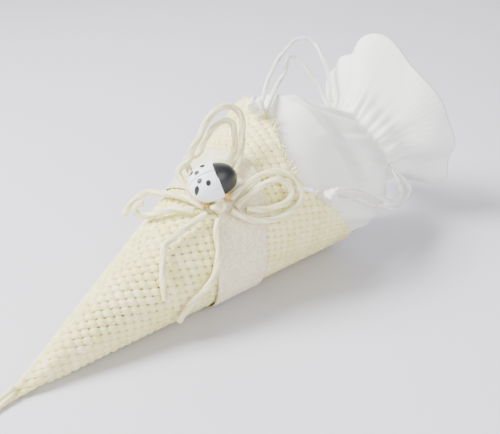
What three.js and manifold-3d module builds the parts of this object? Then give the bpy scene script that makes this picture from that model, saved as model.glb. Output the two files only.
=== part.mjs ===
// A cone rolled from woven paper straw, lying on its side, with a drawstring pouch in its mouth.
// A ribbon band, a twine bow and a wooden ladybird button dress the front of the cone.
// Millimetres, +Z up. X runs along the line that the cone lies on, from the tip to the mouth.
// The origin is on the flat underside, and the camera side of the photograph is -Y.
import * as THREE from 'three';
import Module from 'manifold-3d';
import { mergeVertices } from 'three/addons/utils/BufferGeometryUtils.js';

const wasm = await Module();
wasm.setup();

// Driving dimensions of the cone
const CONE_HALF_ANGLE = 13.4;
const CONE_SIDE = 181;
const RIM_DIP = 32;
const RIM_DIP_ANGLE = 52;
const RIM_DIP_SPREAD = 62;
const TIP_TO_ORIGIN = 150;
const FLAT_DEPTH = 0.4;

// Driving dimensions of the woven wall
const WALL = 2.2;
const RIDGE = 0.9;
const TAPE_PITCH_ALONG = 8.2;
const TAPE_PITCH_ACROSS = 7.6;
const ROW_ANGLE = 44;
const COLUMN_ANGLE = 116;
const GAP_SIZE = 2.6;
const GAP_RIM_MARGIN = 22;
const GAP_SEAM_MARGIN = 16;
const GAP_TIP_START = 44;
const BAND_PROUD = 0.3;
const BAND_WALL = 2.8;
const BAND_RIDGE = 0.5;
const SEAM_ANGLE = 172;
const SEAM_HALF_WIDTH = 13;
const SEAM_CLEARANCE = 1.5;
const RIM_BAND = 13;
const TIP_LENGTH = 42;
const TIP_OVERLAP = 14;
const TIP_RADIUS = 1.3;

// Driving dimensions of the ribbon
const RIBBON_WIDTH = 24.5;
const RIBBON_THICKNESS = 0.5;
const RIBBON_START = 106;
const RIBBON_LEAN = 10;
const RIBBON_LEAN_ANGLE = -70;
const RIBBON_PULL = 8;
const RIBBON_PULL_ANGLE = 30;
const RIBBON_PULL_SPREAD = 32;
const GAP = 0.3;
const FLOOR_CLEARANCE = 0.05;

// Driving dimensions of the pouch
const POUCH_DEPTH = 55;
const POUCH_RISE = 26;
const POUCH_SAG_ANGLE = 136;
const POUCH_CLEARANCE = 1;
const THROAT_DISTANCE = 42;
const THROAT_WIDTH = 40;
const THROAT_DEPTH = 27;
const RUFFLE_LENGTH = 33;
const RUFFLE_WIDTH = 82;
const RUFFLE_DEPTH = 67;
const RUFFLE_WALL = 2.6;
const RUFFLE_WAVE = 3;
const PINCH = 0.22;
const PINCH_DISTANCE = 8;
const PINCH_REACH = 22;
const FOLD_COUNT = 8;
const FOLD_DEPTH = 0.12;

// Driving dimensions of the cords, the bow and the button
const TWINE = 2.8;
const DRAWSTRING = 2.2;
const CORD_SIDES = 8;
const BOW_KNOT = [9, 6.4, 4.8];
const BOW_KNOT_SLANT = 112.5;
const BOW_KNOT_ANGLE = 33;
const LEFT_KNOT_SIZE = [8.4, 7, 8];
const RIGHT_KNOT_SIZE = [7.2, 5.2, 5.2];
const BUTTON_LENGTH = 20.5;
const BUTTON_WIDTH = 17;
const BUTTON_HEIGHT = 9;
const BUTTON_SLANT = 117.5;
const BUTTON_ANGLE = 19;
const BUTTON_TURN = 32;
const BUTTON_LIFT = 6.2;
const BUTTON_HEAD_SHARE = 0.62;
const GLUE_RADIUS = 2.6;
const GLUE_SLANT = 120.5;
const GLUE_ANGLE = 17;

const SEGMENTS_AROUND = 54;
const rad = THREE.MathUtils.degToRad;
const HALF = rad(CONE_HALF_ANGLE);
const AXIS = new THREE.Vector3(Math.cos(HALF), 0, Math.sin(HALF));
const TOP = new THREE.Vector3(-Math.sin(HALF), 0, Math.cos(HALF));
const FRONT = new THREE.Vector3(0, -1, 0);
const TIP = new THREE.Vector3(-TIP_TO_ORIGIN, 0, -FLAT_DEPTH);

// Finishes, as seen in the photograph
const finish = (color, roughness) => new THREE.MeshStandardMaterial({ color, roughness, metalness: 0 });
const STRAW = finish(0xece6c4, 0.75);
const RIBBON = finish(0xf3efdd, 0.85);
const MUSLIN = finish(0xf5f3ee, 0.95);
const STRING = finish(0xf4f2ea, 0.8);
const TWINE_PAPER = finish(0xeee8c6, 0.7);
const GLUE = finish(0xd9a441, 0.3);
const BUTTON_PAINT = new THREE.MeshStandardMaterial({ vertexColors: true, roughness: 0.35, metalness: 0 });

// The cone's places are given by the distance from the tip and the angle about the axis.
// Angle 0 is the top, 90 the camera side and 180 the underside; offset is measured outwards.
function radial(angle) {
  const t = rad(angle);
  return TOP.clone().multiplyScalar(Math.cos(t)).addScaledVector(FRONT, Math.sin(t));
}

function conePoint(slant, angle, offset) {
  const out = radial(angle);
  return TIP.clone()
    .addScaledVector(AXIS, slant * Math.cos(HALF) - offset * Math.sin(HALF))
    .addScaledVector(out, slant * Math.sin(HALF) + offset * Math.cos(HALF));
}

function outward(angle) {
  return radial(angle).multiplyScalar(Math.cos(HALF)).addScaledVector(AXIS, -Math.sin(HALF));
}

function bell(angle, centre, spread) {
  const turn = ((angle - centre + 540) % 360) - 180;
  return Math.exp(-((turn / spread) ** 2));
}

const rimSlant = (angle) => CONE_SIDE - RIM_DIP * bell(angle, RIM_DIP_ANGLE, RIM_DIP_SPREAD);

function ribbonSlant(angle) {
  const lean = RIBBON_LEAN * Math.cos(rad(angle - RIBBON_LEAN_ANGLE));
  return RIBBON_START + lean + RIBBON_PULL * bell(angle, RIBBON_PULL_ANGLE, RIBBON_PULL_SPREAD);
}

// A closed mesh from points and triangles, given outwards
function meshFrom(points, triangles) {
  const geometry = new THREE.BufferGeometry();
  geometry.setAttribute('position', new THREE.Float32BufferAttribute(points.flatMap((p) => [p.x, p.y, p.z]), 3));
  geometry.setIndex(triangles.flat());
  return geometry;
}

// A wall between an outer and an inner grid of points, closed along all its edges
function wallFrom(rows, columns, outerAt, innerAt, around) {
  const points = [];
  const triangles = [];
  const id = (layer, r, c) => layer * rows * columns + r * columns + (around ? c % columns : c);
  for (const at of [outerAt, innerAt]) {
    for (let r = 0; r < rows; r += 1) {
      for (let c = 0; c < columns; c += 1) points.push(at(r, c));
    }
  }
  const quad = (a, b, c, d) => triangles.push([a, b, c], [a, c, d]);
  const lastColumn = around ? columns : columns - 1;
  for (let c = 0; c < lastColumn; c += 1) {
    for (let r = 0; r < rows - 1; r += 1) {
      quad(id(0, r, c), id(0, r + 1, c), id(0, r + 1, c + 1), id(0, r, c + 1));
      quad(id(1, r, c), id(1, r, c + 1), id(1, r + 1, c + 1), id(1, r + 1, c));
    }
    quad(id(0, 0, c), id(0, 0, c + 1), id(1, 0, c + 1), id(1, 0, c));
    quad(id(0, rows - 1, c), id(1, rows - 1, c), id(1, rows - 1, c + 1), id(0, rows - 1, c + 1));
  }
  if (!around) {
    for (let r = 0; r < rows - 1; r += 1) {
      const end = columns - 1;
      quad(id(0, r, 0), id(1, r, 0), id(1, r + 1, 0), id(0, r + 1, 0));
      quad(id(0, r, end), id(0, r + 1, end), id(1, r + 1, end), id(1, r, end));
    }
  }
  return outwards(meshFrom(points, triangles));
}

// Turns a closed mesh the right way round when its signed volume is negative
function outwards(geometry) {
  const p = geometry.attributes.position;
  const index = geometry.index.array;
  const [a, b, c] = [new THREE.Vector3(), new THREE.Vector3(), new THREE.Vector3()];
  let volume = 0;
  for (let i = 0; i < index.length; i += 3) {
    a.fromBufferAttribute(p, index[i]);
    b.fromBufferAttribute(p, index[i + 1]);
    c.fromBufferAttribute(p, index[i + 2]);
    volume += a.dot(b.cross(c));
  }
  if (volume < 0) {
    for (let i = 0; i < index.length; i += 3) [index[i], index[i + 1]] = [index[i + 1], index[i]];
  }
  return geometry;
}

function toSolid(geometry) {
  const bare = geometry.clone();
  bare.deleteAttribute('normal');
  bare.deleteAttribute('uv');
  const merged = outwards(mergeVertices(bare, 1e-4));
  return new wasm.Manifold(new wasm.Mesh({
    numProp: 3,
    vertProperties: Float32Array.from(merged.attributes.position.array),
    triVerts: Uint32Array.from(merged.index.array),
  }));
}

function toGeometry(solid) {
  const mesh = solid.getMesh();
  const geometry = new THREE.BufferGeometry();
  geometry.setAttribute('position', new THREE.BufferAttribute(Float32Array.from(mesh.vertProperties), 3));
  geometry.setIndex(new THREE.BufferAttribute(Uint32Array.from(mesh.triVerts), 1));
  return geometry;
}

// The straw mat is laid out flat, as it is before it is rolled: its crossings make a skewed grid.
const MAT_MIDDLE = SEAM_ANGLE - 180;
const ROW_STEP = new THREE.Vector2(Math.cos(rad(ROW_ANGLE)), Math.sin(rad(ROW_ANGLE)));
const COLUMN_STEP = new THREE.Vector2(Math.cos(rad(COLUMN_ANGLE)), Math.sin(rad(COLUMN_ANGLE)));
ROW_STEP.multiplyScalar(TAPE_PITCH_ALONG);
COLUMN_STEP.multiplyScalar(TAPE_PITCH_ACROSS);

function matPlace(i, j) {
  const x = i * ROW_STEP.x + j * COLUMN_STEP.x;
  const y = i * ROW_STEP.y + j * COLUMN_STEP.y;
  const turn = THREE.MathUtils.radToDeg(Math.atan2(y, x)) - MAT_MIDDLE * Math.sin(HALF);
  return { slant: Math.hypot(x, y), angle: MAT_MIDDLE + turn / Math.sin(HALF), turn };
}

// Arc length from a place on the cone to the seam's middle
function seamDistance(place) {
  const turn = Math.abs(place.angle - MAT_MIDDLE);
  return rad(180 - turn) * place.slant * Math.sin(HALF);
}

function onMat(place) {
  return Math.abs(place.angle - MAT_MIDDLE) < 179
    && place.slant > TIP_LENGTH - TIP_OVERLAP
    && seamDistance(place) > SEAM_CLEARANCE
    && place.slant < rimSlant(place.angle) - SEAM_CLEARANCE;
}

function hasGap(i, j) {
  const place = matPlace(i, j);
  const onRibbon = place.slant > ribbonSlant(place.angle) - TAPE_PITCH_ALONG / 2
    && place.slant < ribbonSlant(place.angle) + RIBBON_WIDTH;
  return (i + j) % 2 === 0 && !onRibbon
    && place.slant > GAP_TIP_START
    && place.slant < rimSlant(place.angle) - GAP_RIM_MARGIN
    && seamDistance(place) > GAP_SEAM_MARGIN;
}

// Each crossing is a raised pillow over a flat back; some corners between crossings are open gaps.
function wovenMat() {
  const points = [];
  const triangles = [];
  const known = new Map();
  const node = (i, j, offset) => {
    const key = `${i.toFixed(3)},${j.toFixed(3)},${offset}`;
    if (!known.has(key)) {
      const place = matPlace(i, j);
      known.set(key, points.length);
      points.push(conePoint(place.slant, place.angle, offset));
    }
    return known.get(key);
  };
  const reach = Math.ceil((2 * CONE_SIDE) / Math.min(TAPE_PITCH_ALONG, TAPE_PITCH_ACROSS));
  const cells = new Set();
  for (let i = -reach; i < reach; i += 1) {
    for (let j = -reach; j < reach; j += 1) {
      const corners = [[i, j], [i + 1, j], [i + 1, j + 1], [i, j + 1]];
      if (corners.every(([a, b]) => onMat(matPlace(a, b)))) cells.add(`${i},${j}`);
    }
  }
  const gapOpen = (i, j) => hasGap(i, j)
    && [[i, j], [i - 1, j], [i, j - 1], [i - 1, j - 1]].every(([a, b]) => cells.has(`${a},${b}`));
  const shift = GAP_SIZE / 2 / TAPE_PITCH_ALONG;
  const backs = -WALL;
  for (const name of cells) {
    const [i, j] = name.split(',').map(Number);
    const corner = (di, dj, offset) => {
      const pull = gapOpen(i + di, j + dj) ? shift : 0;
      return node(i + di + (di ? -pull : pull), j + dj + (dj ? -pull : pull), offset);
    };
    const ring = [
      corner(0, 0, -RIDGE), node(i + 0.5, j, -RIDGE / 2), corner(1, 0, -RIDGE), node(i + 1, j + 0.5, -RIDGE / 2),
      corner(1, 1, -RIDGE), node(i + 0.5, j + 1, -RIDGE / 2), corner(0, 1, -RIDGE), node(i, j + 0.5, -RIDGE / 2),
    ];
    const crest = node(i + 0.5, j + 0.5, 0);
    ring.forEach((p, k) => triangles.push([crest, p, ring[(k + 1) % 8]]));
    const back = [corner(0, 0, backs), corner(1, 0, backs), corner(1, 1, backs), corner(0, 1, backs)];
    triangles.push([back[0], back[2], back[1]], [back[0], back[3], back[2]]);
    // The four sides: a neighbour shares them, or they are the mat's cut edge.
    const sides = [[0, 1, 0, -1], [1, 2, 1, 0], [2, 3, 0, 1], [3, 0, -1, 0]];
    for (const [a, b, di, dj] of sides) {
      const middle = ring[2 * a + 1];
      const neighbour = cells.has(`${i + di},${j + dj}`);
      if (!neighbour) {
        triangles.push([ring[2 * a], back[a], middle], [middle, back[a], back[b]], [middle, back[b], ring[2 * b]]);
      } else if (di === 1 || dj === 1) {
        fillBetween(i, j, a, b, middle, node, gapOpen, shift, triangles);
      }
    }
  }
  for (const [i, j] of gapCorners(cells, gapOpen)) {
    const turns = [[1, 1], [-1, 1], [-1, -1], [1, -1]];
    turns.forEach(([a, b], k) => {
      const [c, d] = turns[(k + 1) % 4];
      const top = [node(i + a * shift, j + b * shift, -RIDGE), node(i + c * shift, j + d * shift, -RIDGE)];
      const low = [node(i + a * shift, j + b * shift, backs), node(i + c * shift, j + d * shift, backs)];
      triangles.push([top[0], top[1], low[1]], [top[0], low[1], low[0]]);
    });
  }
  return outwards(meshFrom(points, triangles));
}

function gapCorners(cells, gapOpen) {
  const corners = [];
  for (const name of cells) {
    const [i, j] = name.split(',').map(Number);
    if (gapOpen(i, j)) corners.push([i, j]);
  }
  return corners;
}

// The slivers beside a gap, between a cell and its neighbour on the far side of corners a and b
function fillBetween(i, j, a, b, middle, node, gapOpen, shift, triangles) {
  const place = [[0, 0], [1, 0], [1, 1], [0, 1]];
  const along = a === 1 ? [0, 1] : [1, 0];
  const across = a === 1 ? [1, 0] : [0, 1];
  const ends = [a, b].map((k) => {
    const [ci, cj] = [i + place[k][0], j + place[k][1]];
    const inward = k === a ? 1 : -1;
    const sign = a === 2 ? -inward : inward;
    if (!gapOpen(ci, cj)) return null;
    const spot = (side, offset) => node(
      ci + sign * along[0] * shift + side * across[0] * shift,
      cj + sign * along[1] * shift + side * across[1] * shift,
      offset,
    );
    return { near: (offset) => spot(-1, offset), far: (offset) => spot(1, offset) };
  });
  const plain = [a, b].map((k) => node(i + place[k][0], j + place[k][1], -WALL));
  const [first, second] = ends;
  if (first) triangles.push([middle, first.near(-RIDGE), first.far(-RIDGE)]);
  if (second) triangles.push([middle, second.far(-RIDGE), second.near(-RIDGE)]);
  if (first && second) {
    triangles.push([first.near(-WALL), second.near(-WALL), second.far(-WALL)]);
    triangles.push([first.near(-WALL), second.far(-WALL), first.far(-WALL)]);
  } else if (first) {
    triangles.push([first.near(-WALL), plain[1], first.far(-WALL)]);
  } else if (second) {
    triangles.push([plain[0], second.near(-WALL), second.far(-WALL)]);
  }
}

// The doubled edge where the rolled mat overlaps itself, with the ends of the tapes across it
function seamBand() {
  const rows = 30;
  const columns = 9;
  const start = TIP_LENGTH - TIP_OVERLAP;
  const slantAt = (r, angle) => THREE.MathUtils.lerp(start, rimSlant(angle) - RIM_BAND / 2, r / (rows - 1));
  const place = (r, c, offset) => {
    const middle = slantAt(r, SEAM_ANGLE);
    const half = THREE.MathUtils.radToDeg(Math.min(SEAM_HALF_WIDTH / (middle * Math.sin(HALF)), 2.2));
    const angle = SEAM_ANGLE + half * ((2 * c) / (columns - 1) - 1);
    return conePoint(slantAt(r, angle), angle, offset);
  };
  const outer = (r, c) => place(r, c, BAND_PROUD - (r % 2 ? BAND_RIDGE : 0));
  const inner = (r, c) => place(r, c, BAND_PROUD - BAND_WALL);
  return wallFrom(rows, columns, outer, inner, false);
}

// The rim, where the tapes end side by side
function rimBand() {
  const columns = 84;
  const place = (r, c, offset) => {
    const angle = (360 * c) / columns;
    return conePoint(rimSlant(angle) - RIM_BAND * (1 - r / 2), angle, offset);
  };
  const outer = (r, c) => place(r, c, BAND_PROUD - (c % 2 ? BAND_RIDGE : 0));
  const inner = (r, c) => place(r, c, BAND_PROUD - BAND_WALL);
  return wallFrom(3, columns, outer, inner, true);
}

// The tip, rolled solid and pinched, with ridges that wind round it
function tipCone() {
  const rows = 9;
  const columns = 16;
  const points = [];
  const triangles = [];
  for (let r = 0; r < rows; r += 1) {
    for (let c = 0; c < columns; c += 1) {
      const slant = 4 + ((TIP_LENGTH - 4) * r) / (rows - 1);
      const angle = (360 * (c + r / 2)) / columns;
      const proud = BAND_PROUD - (c % 2 ? BAND_RIDGE : 0);
      const pinch = Math.max(0, TIP_RADIUS - slant * Math.sin(HALF));
      points.push(conePoint(slant, angle, proud + pinch));
    }
  }
  const first = points.push(conePoint(0.5, 0, 0)) - 1;
  const last = points.push(conePoint(TIP_LENGTH - 3, 0, -(TIP_LENGTH - 3) * Math.tan(HALF))) - 1;
  for (let c = 0; c < columns; c += 1) {
    const next = (c + 1) % columns;
    for (let r = 0; r < rows - 1; r += 1) {
      const [a, b] = [r * columns + c, (r + 1) * columns + c];
      const [d, e] = [r * columns + next, (r + 1) * columns + next];
      triangles.push([a, b, e], [a, e, d]);
    }
    triangles.push([first, c, next]);
    triangles.push([last, (rows - 1) * columns + next, (rows - 1) * columns + c]);
  }
  return outwards(meshFrom(points, triangles));
}

function boxSolid(low, high) {
  const size = [0, 1, 2].map((k) => high[k] - low[k]);
  const box = new THREE.BoxGeometry(...size);
  box.translate(...[0, 1, 2].map((k) => low[k] + size[k] / 2));
  return toSolid(box);
}

// The mat, its seam, rim and tip as one wall, cut flat underneath and hollowed for the ribbon
function wovenCone() {
  const reach = 2 * CONE_SIDE;
  const underside = boxSolid([-reach, -reach, -reach], [reach, reach, 0]);
  const ribbonStart = ribbonSlant(180) - TIP_TO_ORIGIN;
  const ribbonSeat = boxSolid(
    [ribbonStart - RIBBON_WIDTH / 4, -CONE_SIDE / 4, -1],
    [ribbonStart + RIBBON_WIDTH * 1.25, CONE_SIDE / 4, FLOOR_CLEARANCE + RIBBON_THICKNESS + GAP],
  );
  const whole = [seamBand(), rimBand(), tipCone()].reduce((all, g) => all.add(toSolid(g)), toSolid(wovenMat()));
  return toGeometry(whole.subtract(underside).subtract(ribbonSeat));
}

// The ribbon runs round the cone over the ridges, flattened where it passes underneath
function ribbonBand() {
  const columns = 60;
  const level = (offset, lowest) => (r, c) => {
    const angle = (360 * c) / columns;
    const point = conePoint(ribbonSlant(angle) + (RIBBON_WIDTH * r) / 2, angle, offset);
    point.z = Math.max(point.z, lowest);
    return point;
  };
  const under = BAND_PROUD + GAP;
  const outer = level(under + RIBBON_THICKNESS, FLOOR_CLEARANCE);
  const inner = level(under, FLOOR_CLEARANCE + RIBBON_THICKNESS);
  return wallFrom(3, columns, outer, inner, true);
}

// The pouch is a loft of rings along the cone's axis: a plug in the mouth, a sagging shoulder,
// a gathered throat and a flared ruffle that is open at its end.
const MOUTH = CONE_SIDE * Math.cos(HALF) - 3;
const SAG = radial(POUCH_SAG_ANGLE);
const LEAN = radial(POUCH_SAG_ANGLE - 90);
const plugRadius = (along) => along * Math.tan(HALF) - (BAND_WALL - BAND_PROUD + POUCH_CLEARANCE) / Math.cos(HALF);

function folds(angle) {
  const t = rad(angle);
  return 0.3 * Math.cos(FOLD_COUNT * t + 1.1 * Math.sin(2 * t)) + 0.45 * Math.cos(5 * t + 1) + 0.35 * Math.cos(3 * t - 0.7);
}

function pouchRing(x, width, depth, sag, fold, angle, wave, thin) {
  const t = rad(angle);
  const drawn = PINCH * Math.exp(-(((x - PINCH_DISTANCE) / PINCH_REACH) ** 2)) * bell(angle, 75, 45);
  const swell = 1 + fold * folds(angle) - drawn;
  const across = (width / 2) * swell - thin;
  const deep = (depth / 2) * swell - thin;
  return TIP.clone()
    .addScaledVector(AXIS, MOUTH + x + wave * folds(angle + 12))
    .addScaledVector(SAG, sag + across * Math.cos(t))
    .addScaledVector(LEAN, deep * Math.sin(t));
}

function drawstringPouch() {
  const shoulder = 2 * plugRadius(MOUTH);
  const throat = THROAT_DISTANCE;
  const edge = throat + RUFFLE_LENGTH;
  const free = [
    [POUCH_RISE - 12, shoulder - 1, shoulder - 12, 5.5, 0.01], [POUCH_RISE - 3, shoulder - 8, shoulder - 20, 9, 0.03],
    [POUCH_RISE + 4, shoulder - 17, shoulder - 30, 11.2, 0.06],
    [throat - 5, THROAT_WIDTH + 6.5, THROAT_DEPTH + 6, 11.7, 0.09],
    [throat, THROAT_WIDTH, THROAT_DEPTH, 11, FOLD_DEPTH], [throat + 6, THROAT_WIDTH + 3, THROAT_DEPTH + 5, 10.5, FOLD_DEPTH],
    [throat + 15, RUFFLE_WIDTH * 0.62, RUFFLE_DEPTH * 0.56, 10, FOLD_DEPTH],
    [throat + 24, RUFFLE_WIDTH * 0.86, RUFFLE_DEPTH * 0.84, 9.5, FOLD_DEPTH],
    [edge, RUFFLE_WIDTH, RUFFLE_DEPTH, 9, FOLD_DEPTH],
  ];
  const inside = (along) => {
    const r = 2 * plugRadius(along);
    return [along - MOUTH, r, r, 0, 0];
  };
  const rimAlong = (angle) => rimSlant(angle + POUCH_SAG_ANGLE) * Math.cos(HALF);
  const rows = [];
  const ring = (spec, wave = 0, thin = 0) => rows.push((angle) => pouchRing(...spec, angle, wave, thin));
  ring(inside(MOUTH - POUCH_DEPTH));
  rows.push((angle) => pouchRing(...inside((MOUTH - POUCH_DEPTH + rimAlong(angle)) / 2), angle, 0, 0));
  rows.push((angle) => pouchRing(...inside(rimAlong(angle) + 1), angle, 0, 0));
  rows.push((angle) => {
    const [a, b] = [inside(rimAlong(angle) + 1), free[0]];
    return pouchRing(...a.map((value, k) => (value + b[k]) / 2), angle, 0, 0);
  });
  free.forEach((spec, k) => ring(spec, k === free.length - 1 ? RUFFLE_WAVE : 0));
  ring(free[8], RUFFLE_WAVE, RUFFLE_WALL);
  ring(free[7], 0, RUFFLE_WALL);
  ring(free[6], 0, RUFFLE_WALL);
  ring([throat + 11, THROAT_WIDTH * 0.6, THROAT_DEPTH * 0.6, 11, FOLD_DEPTH], 0, 0);
  const points = [];
  const triangles = [];
  const n = SEGMENTS_AROUND;
  rows.forEach((at) => {
    for (let c = 0; c < n; c += 1) points.push(at((360 * c) / n));
  });
  const first = points.push(TIP.clone().addScaledVector(AXIS, MOUTH - POUCH_DEPTH)) - 1;
  const bottom = TIP.clone().addScaledVector(AXIS, MOUTH + throat + 10).addScaledVector(SAG, 11);
  const last = points.push(bottom) - 1;
  for (let c = 0; c < n; c += 1) {
    const d = (c + 1) % n;
    for (let r = 0; r < rows.length - 1; r += 1) {
      triangles.push([r * n + c, (r + 1) * n + c, (r + 1) * n + d], [r * n + c, (r + 1) * n + d, r * n + d]);
    }
    triangles.push([first, c, d], [last, (rows.length - 1) * n + d, (rows.length - 1) * n + c]);
  }
  return outwards(meshFrom(points, triangles));
}

// A cord is a many-sided tube along a smooth curve through its points
function cord(route, diameter, steps) {
  const section = new THREE.Shape();
  for (let k = 0; k < CORD_SIDES; k += 1) {
    const t = (2 * Math.PI * k) / CORD_SIDES;
    const [x, y] = [(diameter / 2) * Math.cos(t), (diameter / 2) * Math.sin(t)];
    if (k) section.lineTo(x, y);
    else section.moveTo(x, y);
  }
  section.closePath();
  const path = new THREE.CatmullRomCurve3(route.map((p) => new THREE.Vector3(...p)), false, 'centripetal');
  return new THREE.ExtrudeGeometry(section, { steps, bevelEnabled: false, extrudePath: path });
}

// A knot is a rounded lump with the turns of the cord winding over it
function knot(size, centre, along, up, turns) {
  const geometry = new THREE.SphereGeometry(1, 14, 10);
  const p = geometry.attributes.position;
  const v = new THREE.Vector3();
  for (let k = 0; k < p.count; k += 1) {
    v.fromBufferAttribute(p, k);
    const girth = Math.max(0, 1 - v.y * v.y);
    const lump = 1 + 0.08 * girth * Math.cos(turns * Math.atan2(v.z, v.x) + 4 * v.y);
    p.setXYZ(k, (v.x * size[0] * lump) / 2, (v.y * size[1] * lump) / 2, (v.z * size[2] * lump) / 2);
  }
  return placed(geometry, centre, along, up);
}

// Turns a shape made about the origin so that its X lies along and its Z points up, then moves it
function placed(geometry, centre, along, up) {
  const z = up.clone().normalize();
  const x = along.clone().addScaledVector(z, -along.dot(z)).normalize();
  const y = z.clone().cross(x);
  geometry.applyMatrix4(new THREE.Matrix4().makeBasis(x, y, z).setPosition(centre));
  return geometry;
}

// The wooden button: a flat-backed oval dome, white wing cases with black spots and a black head
function ladybirdButton() {
  const [rings, around] = [7, 28];
  const points = [];
  const colours = [];
  const triangles = [];
  const white = [0.9, 0.92, 0.95];
  const black = [0.02, 0.02, 0.02];
  const paint = (x, y) => {
    const spots = [[-0.25, 0.5], [-0.55, 0.22], [-0.75, 0.45], [-0.25, -0.5], [-0.55, -0.22], [-0.75, -0.45]];
    const spotted = spots.some(([a, b]) => Math.hypot((x - a) * 1.3, y - b) < 0.13);
    return x > 1 - BUTTON_HEAD_SHARE * (1 + 0.2 * Math.abs(y)) + 0.05 || spotted ? black : white;
  };
  for (let r = 0; r <= rings; r += 1) {
    const lift = (Math.PI / 2) * (r / rings);
    const [reach, height] = [Math.cos(lift) ** 0.8, Math.sin(lift)];
    const count = r === rings ? 1 : around;
    for (let c = 0; c < count; c += 1) {
      const t = (2 * Math.PI * c) / around;
      const [x, y] = [reach * Math.cos(t), reach * Math.sin(t) * (1 - 0.14 * Math.cos(t))];
      points.push(new THREE.Vector3((x * BUTTON_LENGTH) / 2, (y * BUTTON_WIDTH) / 2, height * BUTTON_HEIGHT));
      colours.push(...paint(x, y));
    }
  }
  const middle = points.push(new THREE.Vector3()) - 1;
  colours.push(...white);
  for (let c = 0; c < around; c += 1) {
    const d = (c + 1) % around;
    for (let r = 0; r < rings - 1; r += 1) {
      const [a, b] = [r * around, (r + 1) * around];
      triangles.push([a + c, a + d, b + d], [a + c, b + d, b + c]);
    }
    triangles.push([(rings - 1) * around + c, (rings - 1) * around + d, rings * around], [middle, d, c]);
  }
  const geometry = outwards(meshFrom(points, triangles));
  geometry.setAttribute('color', new THREE.Float32BufferAttribute(colours, 3));
  const turned = AXIS.clone().applyAxisAngle(outward(BUTTON_ANGLE), -rad(BUTTON_TURN));
  return placed(geometry, conePoint(BUTTON_SLANT, BUTTON_ANGLE, BUTTON_LIFT), turned, outward(BUTTON_ANGLE));
}

// The drop of glue between the ribbon and the flat back of the button
function glueDab() {
  const bottom = BAND_PROUD + GAP + RIBBON_THICKNESS + GAP;
  const height = BUTTON_LIFT - bottom - GAP;
  const dab = new THREE.CylinderGeometry(GLUE_RADIUS, GLUE_RADIUS * 1.25, height, 14);
  dab.rotateX(Math.PI / 2);
  dab.translate(0, 0, height / 2);
  return placed(dab, conePoint(GLUE_SLANT, GLUE_ANGLE, bottom), AXIS, outward(GLUE_ANGLE));
}

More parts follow.
